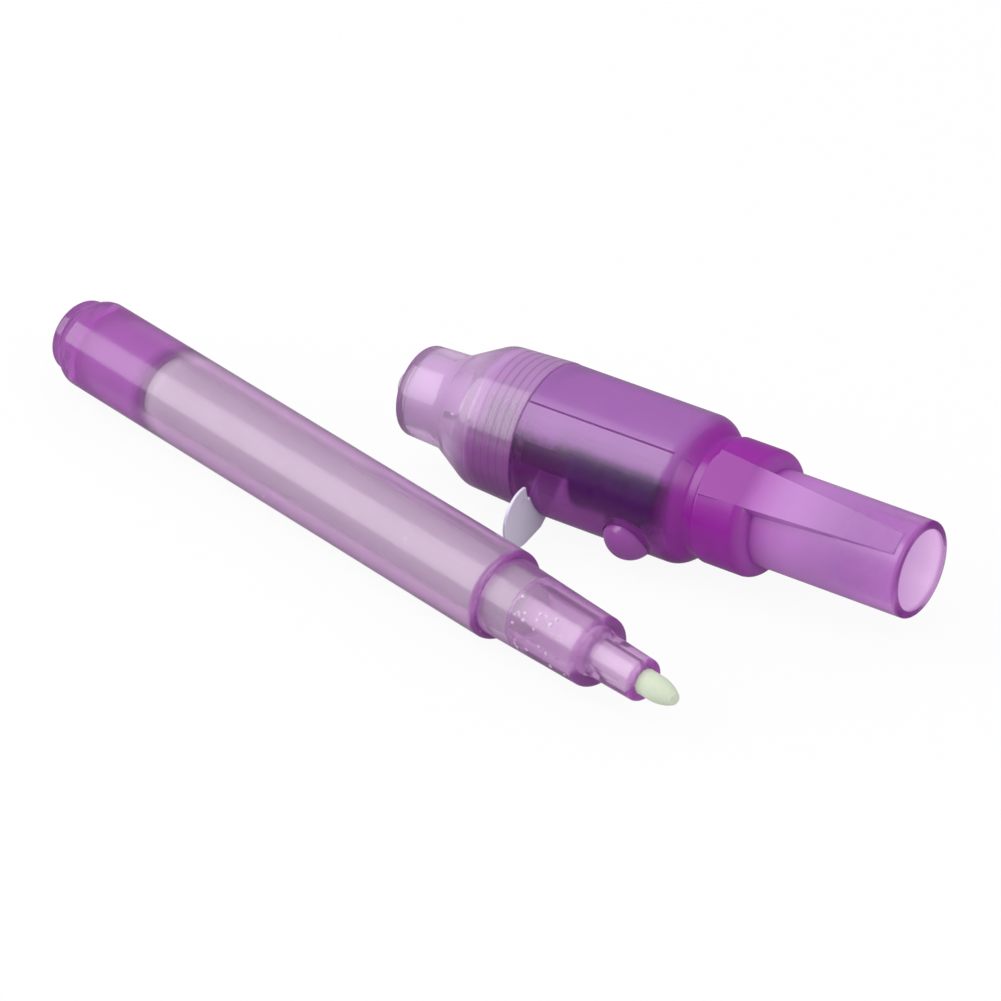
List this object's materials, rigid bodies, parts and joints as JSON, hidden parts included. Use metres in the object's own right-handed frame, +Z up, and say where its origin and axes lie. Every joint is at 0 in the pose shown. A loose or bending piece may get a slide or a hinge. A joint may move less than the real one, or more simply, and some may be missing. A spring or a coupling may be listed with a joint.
{
  "type": "uv invisible ink pen",
  "caption": "Fibre-tip marker for clear UV ink, lying beside its pulled-off translucent cap, which is a small torch with a UV diode, a push button, cells and a pull tab.",
  "frame": {"origin": "middle of the pen and cap as they lie, on the surface under them", "axes": "+X along the pen from its plug to its nib, +Y from the pen towards the cap, +Z up"},
  "size_m": [0.1, 0.0422, 0.0166],
  "materials": {
    "pen_plastic": "clear violet moulded polypropylene, glossy",
    "cap_plastic": "clear violet moulded plastic, glossy",
    "head_plastic": "pale frosted violet moulded plastic",
    "ink_fibre": "pale bonded fibre rod",
    "clear_film": "clear film",
    "nib_fibre": "sintered fibre nib",
    "seal_plastic": "soft violet polyethylene",
    "tab_plastic": "pale insulating film",
    "cell_steel": "nickel-plated steel",
    "gasket_plastic": "black nylon",
    "contact_metal": "plated spring steel",
    "stud_brass": "turned brass",
    "lead_metal": "tinned steel",
    "led_epoxy": "clear epoxy",
    "holder_plastic": "natural translucent plastic"
  },
  "bodies": {
    "pen": {"pen_barrel": "pen_plastic", "end_plug": "pen_plastic", "ink_reservoir": "ink_fibre", "reservoir_film": "clear_film", "nib": "nib_fibre"},
    "light_cap": {"cap_shell": "cap_plastic", "inner_seal": "seal_plastic", "cell_carrier": "holder_plastic", "contact_stud": "stud_brass", "rear_contact": "contact_metal", "switch_leaf": "contact_metal", "cell_1_can": "cell_steel", "cell_1_gasket": "gasket_plastic", "cell_1_lid": "cell_steel", "cell_2_can": "cell_steel", "cell_2_gasket": "gasket_plastic", "cell_2_lid": "cell_steel", "cell_3_can": "cell_steel", "cell_3_gasket": "gasket_plastic", "cell_3_lid": "cell_steel"},
    "button": {"button": "cap_plastic"},
    "pull_tab": {"pull_tab": "tab_plastic"},
    "led_carrier": {"uv_led_lens": "led_epoxy", "uv_led_cathode": "lead_metal", "uv_led_anode": "lead_metal", "led_holder": "holder_plastic", "contact_spring": "contact_metal"},
    "head": {"head_cap": "head_plastic"}
  },
  "joints": [
    {"name": "cap_pull", "type": "slide", "parent": "pen", "child": "light_cap", "axis": [0.9711, 0.2387, 0], "range_m": [0, 0.03]},
    {"name": "button_press", "type": "slide", "parent": "light_cap", "child": "button", "axis": [-0.1986, 0.8079, 0.5548], "range_m": [0, 0.00045], "stiffness_N_per_m": 800},
    {"name": "tab_pull", "type": "slide", "parent": "light_cap", "child": "pull_tab", "axis": [0.1881, -0.7652, -0.6157], "range_m": [0, 0.011]},
    {"name": "carrier_out", "type": "slide", "parent": "light_cap", "child": "led_carrier", "axis": [-0.9711, -0.2387, 0], "range_m": [0, 0.005]},
    {"name": "head_unscrew", "type": "hinge", "parent": "led_carrier", "child": "head", "pos_m": [-0.00305, 0.0032, 0.0083], "axis": [-0.9711, -0.2387, 0], "range_deg": [0, 1801]}
  ],
  "couplings": [
    {"joint": "head_unscrew", "follows": "carrier_out", "rad_per_m": 6283.2}
  ]
}
